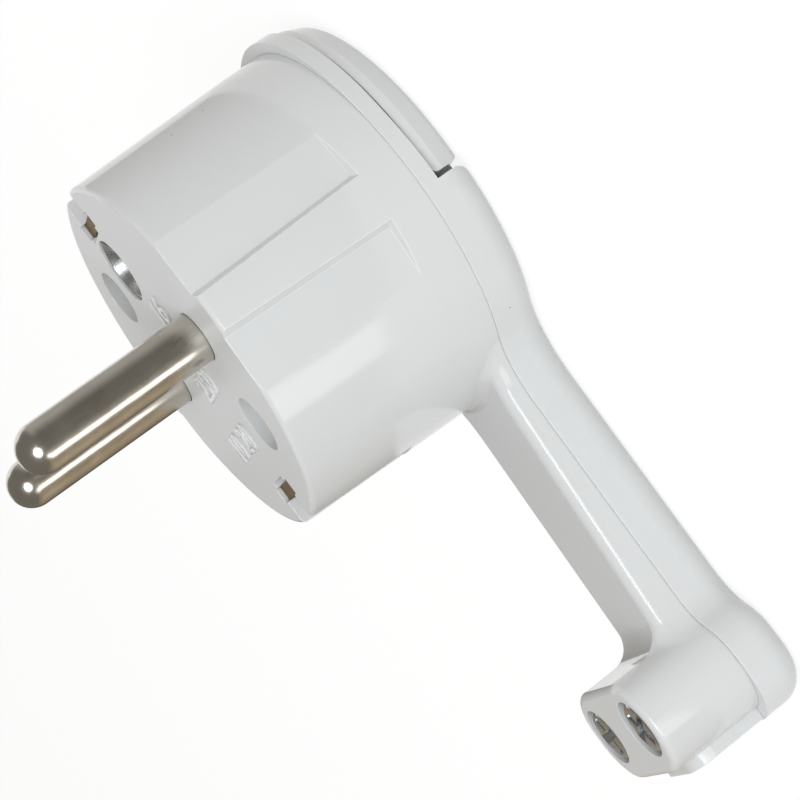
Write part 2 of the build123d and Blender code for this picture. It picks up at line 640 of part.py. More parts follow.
with BuildPart() as pin_live:
    with BuildSketch(Plane.XZ.offset(-PIN_SPACING / 2)):
        with BuildLine():
            CenterArc((0, PIN_TIP - PIN_RADIUS), PIN_RADIUS, 0, 90)
            Polyline(
                (0, PIN_TIP),
                (0, PIN_HEAD_REAR),
                (PIN_HEAD_RADIUS, PIN_HEAD_REAR),
                (PIN_HEAD_RADIUS, CAVITY_TOP),
                (PIN_NECK_RADIUS, CAVITY_TOP),
                (PIN_NECK_RADIUS, BODY_HEIGHT - PIN_LIP),
                (PIN_ROOT_RADIUS, BODY_HEIGHT - PIN_LIP),
                (PIN_ROOT_RADIUS, BODY_HEIGHT),
                (PIN_RADIUS, BODY_HEIGHT),
                (PIN_RADIUS, PIN_TIP - PIN_RADIUS),
            )
        make_face()
    revolve(axis=PIN_AXIS)
    with BuildSketch(Plane.YZ):
        with Locations((PIN_SPACING / 2, WIRE_HOLE_HEIGHT)):
            Circle(WIRE_HOLE_RADIUS)
    extrude(amount=PIN_HEAD_RADIUS, both=True, mode=Mode.SUBTRACT)
    with BuildSketch(Plane.XY.offset(PIN_HEAD_REAR)):
        with Locations(PIN_PLACES[0]):
            Circle(TERMINAL_THREAD_RADIUS + SCREW_FIT)
    extrude(amount=WIRE_HOLE_SETBACK, mode=Mode.SUBTRACT)
pin_live.part.label = "pin_live"
export_step(pin_live.part, "parts/pin_live.step")

with BuildPart() as pin_neutral:
    mirror(pin_live.part, about=Plane.XZ)
pin_neutral.part.label = "pin_neutral"
export_step(pin_neutral.part, "parts/pin_neutral.step")

with BuildPart() as terminal_screw_live:
    with BuildSketch(Plane.XY.offset(PIN_HEAD_REAR - TERMINAL_HEAD_HEIGHT)):
        with Locations(PIN_PLACES[0]):
            Circle(TERMINAL_HEAD_RADIUS)
    extrude(amount=TERMINAL_HEAD_HEIGHT)
    with BuildSketch(Plane.XY.offset(PIN_HEAD_REAR)):
        with Locations(PIN_PLACES[0]):
            Circle(TERMINAL_THREAD_RADIUS)
    extrude(amount=WIRE_HOLE_SETBACK)
    with BuildSketch(Plane.XY.offset(PIN_HEAD_REAR - TERMINAL_HEAD_HEIGHT)):
        with Locations(PIN_PLACES[0]):
            Rectangle(2 * TERMINAL_HEAD_RADIUS, CROSS_WIDTH)
    extrude(amount=TERMINAL_HEAD_HEIGHT / 2, mode=Mode.SUBTRACT)
terminal_screw_live.part.label = "terminal_screw_live"
export_step(terminal_screw_live.part, "parts/terminal_screw_live.step")

with BuildPart() as terminal_screw_neutral:
    mirror(terminal_screw_live.part, about=Plane.XZ)
terminal_screw_neutral.part.label = "terminal_screw_neutral"
export_step(terminal_screw_neutral.part, "parts/terminal_screw_neutral.step")

with BuildPart() as earth_strip:
    # Bent strip seen from the side
    with BuildSketch(Plane.XZ) as strip_section:
        with Locations((0, STRIP_BRIDGE_HEIGHT)):
            Rectangle(
                STRIP_SPAN,
                BODY_HEIGHT - STRIP_END_DEPTH - STRIP_BRIDGE_HEIGHT,
                align=(Align.CENTER, Align.MIN),
            )
        fillet(strip_section.vertices().group_by(Axis.Y)[0], STRIP_BEND_RADIUS + STRIP_THICKNESS)
        with Locations((0, STRIP_TOP)):
            Rectangle(
                2 * STRIP_INNER,
                BODY_HEIGHT - STRIP_END_DEPTH - STRIP_TOP,
                align=(Align.CENTER, Align.MIN),
                mode=Mode.SUBTRACT,
            )
        inner_corners = strip_section.vertices().filter_by_position(
            Axis.Y, STRIP_TOP - STRIP_FIT, STRIP_TOP + STRIP_FIT
        )
        fillet(inner_corners, STRIP_BEND_RADIUS)
    extrude(amount=STRIP_WIDTH / 2, both=True)
    # Threaded neck for the earth screw and the hole for the rivet
    with BuildSketch(Plane.XY.offset(STRIP_TOP)):
        with Locations((EARTH_SCREW_X, 0)):
            Circle(EARTH_NECK_RADIUS)
    extrude(amount=EARTH_NECK_HEIGHT)
    with BuildSketch(Plane.XY.offset(STRIP_BRIDGE_HEIGHT)):
        with Locations((EARTH_SCREW_X, 0)):
            Circle(EARTH_THREAD_RADIUS + SCREW_FIT)
        with Locations((-EARTH_HOLE_OFFSET, 0)):
            Circle(RIVET_SHANK_RADIUS + SCREW_FIT)
    extrude(amount=STRIP_THICKNESS + EARTH_NECK_HEIGHT, mode=Mode.SUBTRACT)
earth_strip.part.label = "earth_strip"
export_step(earth_strip.part, "parts/earth_strip.step")

with BuildPart() as earth_sleeve:
    sleeve_bore = SLEEVE_OUTER_RADIUS - SLEEVE_WALL
    with BuildSketch(Plane.XY.offset(STRIP_TOP)):
        with Locations((-EARTH_HOLE_OFFSET, 0)):
            Circle(SLEEVE_OUTER_RADIUS)
    extrude(amount=BODY_HEIGHT - SLEEVE_END_DEPTH - STRIP_TOP)
    with BuildSketch(Plane.XY.offset(STRIP_TOP + SLEEVE_FLOOR + RIVET_HEAD_HEIGHT)):
        with Locations((-EARTH_HOLE_OFFSET, 0)):
            Circle(sleeve_bore)
    extrude(amount=BODY_HEIGHT, mode=Mode.SUBTRACT)
    with Locations((-EARTH_HOLE_OFFSET, 0, BODY_HEIGHT - SLEEVE_END_DEPTH)):
        Cone(
            sleeve_bore,
            sleeve_bore + SLEEVE_FLARE,
            SLEEVE_FLARE_DEPTH,
            align=(Align.CENTER, Align.CENTER, Align.MAX),
            mode=Mode.SUBTRACT,
        )
    with BuildSketch(Plane.XY.offset(STRIP_TOP + SLEEVE_FLOOR)):
        with Locations((-EARTH_HOLE_OFFSET, 0)):
            Circle(RIVET_HEAD_RADIUS + SCREW_FIT)
    extrude(amount=RIVET_HEAD_HEIGHT, mode=Mode.SUBTRACT)
    with BuildSketch(Plane.XY.offset(STRIP_TOP)):
        with Locations((-EARTH_HOLE_OFFSET, 0)):
            Circle(RIVET_SHANK_RADIUS + SCREW_FIT)
    extrude(amount=SLEEVE_FLOOR, mode=Mode.SUBTRACT)
    # Slits that let the contact spring
    with BuildSketch(Plane.XY.offset(STRIP_TOP + SLEEVE_OUTER_RADIUS)):
        with Locations((-EARTH_HOLE_OFFSET, 0)):
            Rectangle(3 * SLEEVE_OUTER_RADIUS, SLEEVE_SLIT)
    extrude(amount=BODY_HEIGHT, mode=Mode.SUBTRACT)
earth_sleeve.part.label = "earth_sleeve"
export_step(earth_sleeve.part, "parts/earth_sleeve.step")

with BuildPart() as earth_rivet:
    with BuildSketch(Plane.XY.offset(STRIP_BRIDGE_HEIGHT)):
        with Locations((-EARTH_HOLE_OFFSET, 0)):
            Circle(RIVET_SHANK_RADIUS)
    extrude(amount=STRIP_THICKNESS + SLEEVE_FLOOR)
    with BuildSketch(Plane.XY.offset(STRIP_BRIDGE_HEIGHT - RIVET_HEAD_HEIGHT)):
        with Locations((-EARTH_HOLE_OFFSET, 0)):
            Circle(RIVET_HEAD_RADIUS)
    extrude(amount=RIVET_HEAD_HEIGHT)
    with BuildSketch(Plane.XY.offset(STRIP_TOP + SLEEVE_FLOOR)):
        with Locations((-EARTH_HOLE_OFFSET, 0)):
            Circle(RIVET_HEAD_RADIUS)
    extrude(amount=RIVET_HEAD_HEIGHT)
earth_rivet.part.label = "earth_rivet"
export_step(earth_rivet.part, "parts/earth_rivet.step")

with BuildPart() as earth_washer:
    with BuildSketch(Plane.XY.offset(STRIP_BRIDGE_HEIGHT - WASHER_THICKNESS)):
        with Locations((EARTH_SCREW_X, 0)):
            RectangleRounded(WASHER_SIZE, WASHER_SIZE, WASHER_THICKNESS)
            Circle(EARTH_THREAD_RADIUS + SCREW_PASSAGE, mode=Mode.SUBTRACT)
    extrude(amount=WASHER_THICKNESS)
earth_washer.part.label = "earth_washer"
export_step(earth_washer.part, "parts/earth_washer.step")

with BuildPart() as earth_screw:
    earth_seat = STRIP_BRIDGE_HEIGHT - WASHER_THICKNESS
    with BuildSketch(Plane.XY.offset(earth_seat)):
        with Locations((EARTH_SCREW_X, 0)):
            Circle(EARTH_HEAD_RADIUS)
    extrude(amount=-EARTH_HEAD_HEIGHT)
    with BuildSketch(Plane.XY.offset(earth_seat)):
        with Locations((EARTH_SCREW_X, 0)):
            Circle(EARTH_THREAD_RADIUS)
    extrude(amount=EARTH_SCREW_LENGTH)
    with BuildSketch(Plane.XY.offset(earth_seat - EARTH_HEAD_HEIGHT)):
        with Locations((EARTH_SCREW_X, 0)):
            add(cross_recess())
    extrude(amount=CROSS_DEPTH, mode=Mode.SUBTRACT)
earth_screw.part.label = "earth_screw"
export_step(earth_screw.part, "parts/earth_screw.step")

with BuildPart() as cover_screw_near:
    with BuildSketch(Plane.XY.offset(COVER_SCREW_SEAT)):
        with Locations(COVER_SCREW_PLACES[0]):
            Circle(COVER_SCREW_HEAD_RADIUS)
    extrude(amount=COVER_SCREW_HEAD_HEIGHT)
    with BuildSketch(Plane.XY.offset(COVER_SCREW_TIP)):
        with Locations(COVER_SCREW_PLACES[0]):
            Circle(SCREW_RADIUS)
    extrude(amount=COVER_SCREW_SEAT - COVER_SCREW_TIP)
    with BuildSketch(Plane.XY.offset(COVER_SCREW_SEAT + COVER_SCREW_HEAD_HEIGHT)):
        with Locations(COVER_SCREW_PLACES[0]):
            add(cross_recess())
    extrude(amount=-CROSS_DEPTH, mode=Mode.SUBTRACT)
cover_screw_near.part.label = "cover_screw_near"
export_step(cover_screw_near.part, "parts/cover_screw_near.step")

with BuildPart() as cover_screw_far:
    add(cover_screw_near.part.rotate(Axis.Z, 180))
cover_screw_far.part.label = "cover_screw_far"
export_step(cover_screw_far.part, "parts/cover_screw_far.step")

with BuildPart() as clamp_screw_near:
    with BuildSketch(Plane.XY.offset(CLAMP_SCREW_SEAT)):
        with Locations(CLAMP_SCREW_PLACES[0]):
            Circle(CLAMP_SCREW_HEAD_RADIUS)
    extrude(amount=CLAMP_SCREW_HEAD_HEIGHT)
    with BuildSketch(Plane.XY.offset(CLAMP_SCREW_TIP)):
        with Locations(CLAMP_SCREW_PLACES[0]):
            Circle(SCREW_RADIUS)
    extrude(amount=CLAMP_SCREW_SEAT - CLAMP_SCREW_TIP)
    with BuildSketch(Plane.XY.offset(CLAMP_SCREW_SEAT + CLAMP_SCREW_HEAD_HEIGHT)):
        with Locations(CLAMP_SCREW_PLACES[0]):
            add(cross_recess())
    extrude(amount=-CROSS_DEPTH, mode=Mode.SUBTRACT)
clamp_screw_near.part.label = "clamp_screw_near"
export_step(clamp_screw_near.part, "parts/clamp_screw_near.step")

with BuildPart() as clamp_screw_far:
    mirror(clamp_screw_near.part, about=Plane.XZ)
clamp_screw_far.part.label = "clamp_screw_far"
export_step(clamp_screw_far.part, "parts/clamp_screw_far.step")
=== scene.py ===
"""Looks of the flat angled earthed plug: finishes, cross-head screws, raised numbers, studio and camera."""

import logging
import math
from dataclasses import dataclass
from enum import Enum

import bmesh
import bpy
from mathutils import Matrix, Vector


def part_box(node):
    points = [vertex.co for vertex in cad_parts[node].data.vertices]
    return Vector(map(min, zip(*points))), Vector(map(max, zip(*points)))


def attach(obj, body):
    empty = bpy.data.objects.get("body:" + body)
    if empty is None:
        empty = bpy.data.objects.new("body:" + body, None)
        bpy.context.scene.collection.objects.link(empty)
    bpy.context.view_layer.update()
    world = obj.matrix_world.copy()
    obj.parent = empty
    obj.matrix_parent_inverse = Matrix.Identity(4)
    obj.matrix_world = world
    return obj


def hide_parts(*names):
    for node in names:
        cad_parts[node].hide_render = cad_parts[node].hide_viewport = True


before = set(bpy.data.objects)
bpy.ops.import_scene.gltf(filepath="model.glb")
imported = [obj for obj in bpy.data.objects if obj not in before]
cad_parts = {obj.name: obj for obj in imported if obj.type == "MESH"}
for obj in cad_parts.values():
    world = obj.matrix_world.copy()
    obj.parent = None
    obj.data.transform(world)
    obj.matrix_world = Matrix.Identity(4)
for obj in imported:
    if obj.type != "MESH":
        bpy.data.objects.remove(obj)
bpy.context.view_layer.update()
LOG = logging.getLogger("plug")
MM = 0.001
TINY = 1e-7
CUT_TOLERANCE = 1e-8
RISING = (0.0, 1.0)
FALLING = (1.0, 0.0)

Colour = tuple[float, float, float]
Triple = tuple[float, float, float]
Pair = tuple[float, float]


class Brushing(Enum):
    """Which way the fine marks on a metal run, as the stretch of its grain."""

    ALONG_PINS = (1.0, 1.0, 0.12)
    ACROSS_STRIP = (0.15, 1.0, 1.0)
    NONE = (1.0, 1.0, 1.0)


class Body(Enum):
    """The body that the added pieces ride on."""

    PLUG = "plug"


@dataclass
class FinishBench:
    """A material in the making: its nodes are set out, set and joined here."""

    name: str
    ray_samples: int = 6
    front_turn: Pair = (0.97, 0.995)

    def __post_init__(self) -> None:
        """Start an empty material that reads the piece's own coordinates."""
        self.material = bpy.data.materials.new(self.name)
        self.material.use_nodes = True
        self.tree = self.material.node_tree
        self.shader = self.tree.nodes["Principled BSDF"]
        self.place = self.tree.nodes.new("ShaderNodeTexCoord")

    def join(self, source: bpy.types.NodeSocket, target: bpy.types.NodeSocket) -> None:
        """Link two sockets."""
        self.tree.links.new(source, target)

    def set(self, **sockets: object) -> None:
        """Set sockets of the shader by name.

        Args:
            sockets: a value for each socket.
        """
        for name, value in sockets.items():
            self.shader.inputs[name].default_value = value

    def stretched(self, stretch: Triple) -> bpy.types.NodeSocket:
        """Object coordinates with a stretch along each axis.

        Args:
            stretch: factors for the three axes; a small one draws a pattern out along that axis.

        Returns:
            The vector socket.
        """
        mapping = self.tree.nodes.new("ShaderNodeMapping")
        mapping.inputs["Scale"].default_value = stretch
        self.join(self.place.outputs["Object"], mapping.inputs["Vector"])
        return mapping.outputs["Vector"]

    def noise(self, size: float, detail: float, stretch: Triple = (1.0, 1.0, 1.0)) -> bpy.types.NodeSocket:
        """A cloudy pattern.

        Args:
            size: size of its patches, in metres.
            detail: how many finer layers it has.
            stretch: factors for the three axes.

        Returns:
            The factor socket.
        """
        texture = self.tree.nodes.new("ShaderNodeTexNoise")
        texture.inputs["Scale"].default_value = 1.0 / size
        texture.inputs["Detail"].default_value = detail
        self.join(self.stretched(stretch), texture.inputs["Vector"])
        return texture.outputs["Fac"]

    def cells(self, size: float) -> bpy.types.Node:
        """A pattern of cells with a random colour and the distance from each cell's point.

        Args:
            size: size of the cells, in metres.

        Returns:
            The texture node.
        """
        texture = self.tree.nodes.new("ShaderNodeTexVoronoi")
        texture.inputs["Scale"].default_value = 1.0 / size
        self.join(self.place.outputs["Object"], texture.inputs["Vector"])
        return texture

    def ranged(self, source: bpy.types.NodeSocket, old: Pair, new: Pair) -> bpy.types.NodeSocket:
        """Map one range of numbers to another and stop at its ends.

        Args:
            source: the number to map.
            old: the range that it has.
            new: the range that it gets.

        Returns:
            The mapped number.
        """
        mapper = self.tree.nodes.new("ShaderNodeMapRange")
        for name, value in zip(("From Min", "From Max", "To Min", "To Max"), old + new):
            mapper.inputs[name].default_value = value
        self.join(source, mapper.inputs["Value"])
        return mapper.outputs["Result"]

    def times(self, first: bpy.types.NodeSocket, second: bpy.types.NodeSocket) -> bpy.types.NodeSocket:
        """The product of two patterns.

        Args:
            first: a number socket.
            second: another number socket.

        Returns:
            The product.
        """
        product = self.tree.nodes.new("ShaderNodeMath")
        product.operation = "MULTIPLY"
        self.join(first, product.inputs[0])
        self.join(second, product.inputs[1])
        return product.outputs["Value"]

    def blend(
        self, share: bpy.types.NodeSocket, first: "Colour | bpy.types.NodeSocket", second: Colour
    ) -> bpy.types.NodeSocket:
        """Blend two colours by a pattern.

        Args:
            share: the pattern, 0 for the first colour and 1 for the second.
            first: a colour or a colour socket.
            second: a colour.

        Returns:
            The blended colour.
        """
        mixer = self.tree.nodes.new("ShaderNodeMix")
        mixer.data_type = "RGBA"
        self.join(share, mixer.inputs["Factor"])
        colours = [socket for socket in mixer.inputs if socket.type == "RGBA"]
        if isinstance(first, tuple):
            colours[0].default_value = (*first, 1.0)
        else:
            self.join(first, colours[0])
        colours[1].default_value = (*second, 1.0)
        return next(socket for socket in mixer.outputs if socket.type == "RGBA")

    def blend_numbers(
        self, share: bpy.types.NodeSocket, first: bpy.types.NodeSocket, second: float
    ) -> bpy.types.NodeSocket:
        """Blend a pattern into a number.

        Args:
            share: the pattern, 0 for the first and 1 for the second.
            first: a number socket.
            second: a number.

        Returns:
            The blended number.
        """
        mixer = self.tree.nodes.new("ShaderNodeMix")
        mixer.data_type = "FLOAT"
        self.join(share, mixer.inputs[0])
        self.join(first, mixer.inputs[2])
        mixer.inputs[3].default_value = second
        return mixer.outputs[0]

    def rounded(self, radius: float) -> bpy.types.NodeSocket:
        """Normals that look rounded at sharp edges.

        Args:
            radius: radius of the rounding, in metres.

        Returns:
            The normal socket.
        """
        edge = self.tree.nodes.new("ShaderNodeBevel")
        edge.samples = self.ray_samples
        edge.inputs["Radius"].default_value = radius
        return edge.outputs["Normal"]

    def relief(
        self, height: bpy.types.NodeSocket, depth: float, normal: bpy.types.NodeSocket
    ) -> bpy.types.NodeSocket:
        """Bumps on top of given normals.

        Args:
            height: the pattern of the bumps.
            depth: their height, in metres.
            normal: the normals that they start from.

        Returns:
            The normal socket.
        """
        bump = self.tree.nodes.new("ShaderNodeBump")
        bump.inputs["Strength"].default_value = 1.0
        bump.inputs["Distance"].default_value = depth
        self.join(height, bump.inputs["Height"])
        self.join(normal, bump.inputs["Normal"])
        return bump.outputs["Normal"]

    def crevices(self, reach: float) -> bpy.types.NodeSocket:
        """How closed-in each point is.

        Args:
            reach: how far away other surfaces count, in metres.

        Returns:
            A number from 0 in a crevice to 1 in the open.
        """
        shade = self.tree.nodes.new("ShaderNodeAmbientOcclusion")
        shade.samples = self.ray_samples
        shade.inputs["Distance"].default_value = reach
        return shade.outputs["AO"]

    def edges(self, rounding: bpy.types.NodeSocket, turns: Pair) -> bpy.types.NodeSocket:
        """Where an edge turns.

        Args:
            rounding: normals that look rounded at sharp edges.
            turns: cosines of the turns that count as a sharp edge and as none.

        Returns:
            A number from 0 on a plain surface to 1 on a sharp edge.
        """
        facing = self.tree.nodes.new("ShaderNodeNewGeometry")
        turn = self.tree.nodes.new("ShaderNodeVectorMath")
        turn.operation = "DOT_PRODUCT"
        self.join(rounding, turn.inputs[0])
        self.join(facing.outputs["Normal"], turn.inputs[1])
        return self.ranged(turn.outputs["Value"], turns, FALLING)

    def upward(self) -> bpy.types.NodeSocket:
        """Where a surface faces the way the pins point.

        Returns:
            A number, 1 there and 0 elsewhere.
        """
        parts = self.tree.nodes.new("ShaderNodeSeparateXYZ")
        self.join(self.place.outputs["Normal"], parts.inputs["Vector"])
        return self.ranged(parts.outputs["Z"], self.front_turn, RISING)


@dataclass(frozen=True)
class GlossPlastic:
    """White moulded plastic: glossy with a faint ripple, and finely textured on its front; painted shade
    darkens its seams and crevices, and painted highlight lines run along its sharp edges.
    """

    name: str
    colour: Colour = (0.735, 0.745, 0.75)
    cloud: Colour = (0.70, 0.705, 0.70)
    # Painted shade: the colour that seams and crevices are darkened towards.
    seam_shade: Colour = (0.36, 0.35, 0.33)
    # Painted highlight: the near-white colour painted along sharp edges.
    edge_highlight: Colour = (0.93, 0.935, 0.93)
    speck: Colour = (0.12, 0.10, 0.09)
    gloss: Pair = (0.07, 0.13)
    front_roughness: float = 0.42
    ripple_depth: float = 0.0035 * MM
    texture_depth: float = 0.0022 * MM
    edge_radius: float = 0.14 * MM
    edge_turns: Pair = (0.94, 0.996)
    specks: bool = True
    cloud_size: float = 14 * MM
    cloud_detail: float = 3.0
    speck_cell: float = 2.6 * MM
    speck_reach: Pair = (0.02, 0.04)
    speck_choice: Pair = (0.6, 0.62)
    crevice_reach: float = 0.4 * MM
    open_turn: Pair = (0.6, 0.85)
    hollow_turn: Pair = (0.15, 0.6)
    # How strong the painted shade in seams and crevices is.
    seam_shade_share: float = 0.7
    gloss_size: float = 5 * MM
    gloss_detail: float = 4.0
    gloss_turn: Pair = (0.3, 0.7)
    ripple_size: float = 2.2 * MM
    texture_size: float = 0.16 * MM
    relief_detail: float = 2.0
    refraction: float = 1.5

    def material(self) -> bpy.types.Material:
        """Make the material.

        Returns:
            The finished material.
        """
        bench = FinishBench(self.name)
        clouds = bench.noise(self.cloud_size, self.cloud_detail)
        tone = bench.blend(clouds, self.colour, self.cloud)
        if self.specks:
            cells = bench.cells(self.speck_cell)
            dot = bench.ranged(cells.outputs["Distance"], self.speck_reach, FALLING)
            chosen = bench.ranged(cells.outputs["Color"], self.speck_choice, RISING)
            tone = bench.blend(bench.times(dot, chosen), tone, self.speck)
        openness = bench.crevices(self.crevice_reach)
        rounding = bench.rounded(self.edge_radius)
        exposed = bench.ranged(openness, self.open_turn, RISING)
        # Painted highlight: sharp open edges are lightened as if a bright reflection ran along them.
        edge_highlight_mask = bench.times(bench.edges(rounding, self.edge_turns), exposed)
        tone = bench.blend(edge_highlight_mask, tone, self.edge_highlight)
        # Painted shade: the colour is darkened in seams and crevices, where shade falls.
        crevice_shade = bench.ranged(openness, self.hollow_turn, (self.seam_shade_share, 0.0))
        bench.join(bench.blend(crevice_shade, tone, self.seam_shade), bench.shader.inputs["Base Color"])
        front = bench.upward()
        shine = bench.ranged(bench.noise(self.gloss_size, self.gloss_detail), self.gloss_turn, self.gloss)
        bench.join(bench.blend_numbers(front, shine, self.front_roughness), bench.shader.inputs["Roughness"])
        waves = bench.noise(self.ripple_size, self.relief_detail)
        ripple = bench.relief(waves, self.ripple_depth, rounding)
        grain = bench.times(bench.noise(self.texture_size, self.relief_detail), front)
        bench.join(bench.relief(grain, self.texture_depth, ripple), bench.shader.inputs["Normal"])
        bench.set(IOR=self.refraction)
        return bench.material


@dataclass(frozen=True)
class PlatedMetal:
    """A plated or bare metal with drawn marks, tiny pits and patches of tarnish, and painted shade in its
    crevices.
    """

    name: str
    colour: Colour
    tarnish: Colour
    shine: Pair
    brushing: Brushing = Brushing.NONE
    mark_size: float = 0.16 * MM
    mark_depth: float = 0.003 * MM
    pit_depth: float = 0.004 * MM
    edge_radius: float = 0.1 * MM
    mark_detail: float = 3.0
    shine_turn: Pair = (0.3, 0.7)
    patch_size: float = 3.5 * MM
    patch_detail: float = 4.0
    patch_turn: Pair = (0.35, 0.75)
    patch_share: float = 0.8
    crevice_reach: float = 0.6 * MM
    hollow_turn: Pair = (0.2, 0.8)
    hollow_share: float = 0.7
    hollow_shade: float = 0.35
    pit_cell: float = 0.22 * MM
    pit_reach: Pair = (0.0, 0.25)

    def material(self) -> bpy.types.Material:
        """Make the material.

        Returns:
            The finished material.
        """
        bench = FinishBench(self.name)
        marks = bench.noise(self.mark_size, self.mark_detail, self.brushing.value)
        clouds = bench.noise(self.patch_size, self.patch_detail)
        patches = bench.ranged(clouds, self.patch_turn, (0.0, self.patch_share))
        tone = bench.blend(patches, self.colour, self.tarnish)
        # Painted shade: a darkened tarnish tone is painted into crevices, where shade falls.
        openness = bench.crevices(self.crevice_reach)
        crevice_shade = bench.ranged(openness, self.hollow_turn, (self.hollow_share, 0.0))
        dark = tuple(self.hollow_shade * part for part in self.tarnish)
        bench.join(bench.blend(crevice_shade, tone, dark), bench.shader.inputs["Base Color"])
        bench.join(bench.ranged(marks, self.shine_turn, self.shine), bench.shader.inputs["Roughness"])
        drawn = bench.relief(marks, self.mark_depth, bench.rounded(self.edge_radius))
        pits = bench.ranged(bench.cells(self.pit_cell).outputs["Distance"], self.pit_reach, RISING)
        bench.join(bench.relief(pits, self.pit_depth, drawn), bench.shader.inputs["Normal"])
        bench.set(Metallic=1.0)
        return bench.material


def keep(shape: bmesh.types.BMesh, name: str, smooth_angle: float) -> bpy.types.Object:
    """Turn a finished shape into an object at the origin.

    Args:
        shape: the shape, which is freed.
        name: the piece's name.
        smooth_angle: edges sharper than this stay sharp, in radians.

    Returns:
        The new object.
    """
    bmesh.ops.remove_doubles(shape, verts=shape.verts, dist=TINY)
    bmesh.ops.recalc_face_normals(shape, faces=shape.faces)
    for face in shape.faces:
        face.smooth = True
    for edge in shape.edges:
        edge.smooth = edge.is_manifold and edge.calc_face_angle(0.0) < smooth_angle
    mesh = bpy.data.meshes.new(name)
    shape.to_mesh(mesh)
    shape.free()
    piece = bpy.data.objects.new(name, mesh)
    bpy.context.scene.collection.objects.link(piece)
    return piece


def dress(nodes: tuple[str, ...], material: bpy.types.Material) -> None:
    """Give CAD nodes a finish.

    Args:
        nodes: names of the nodes.
        material: the finish.
    """
    for name in nodes:
        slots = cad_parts[name].data.materials
        slots.clear()
        slots.append(material)
        LOG.info("%s dressed in %s", name, material.name)


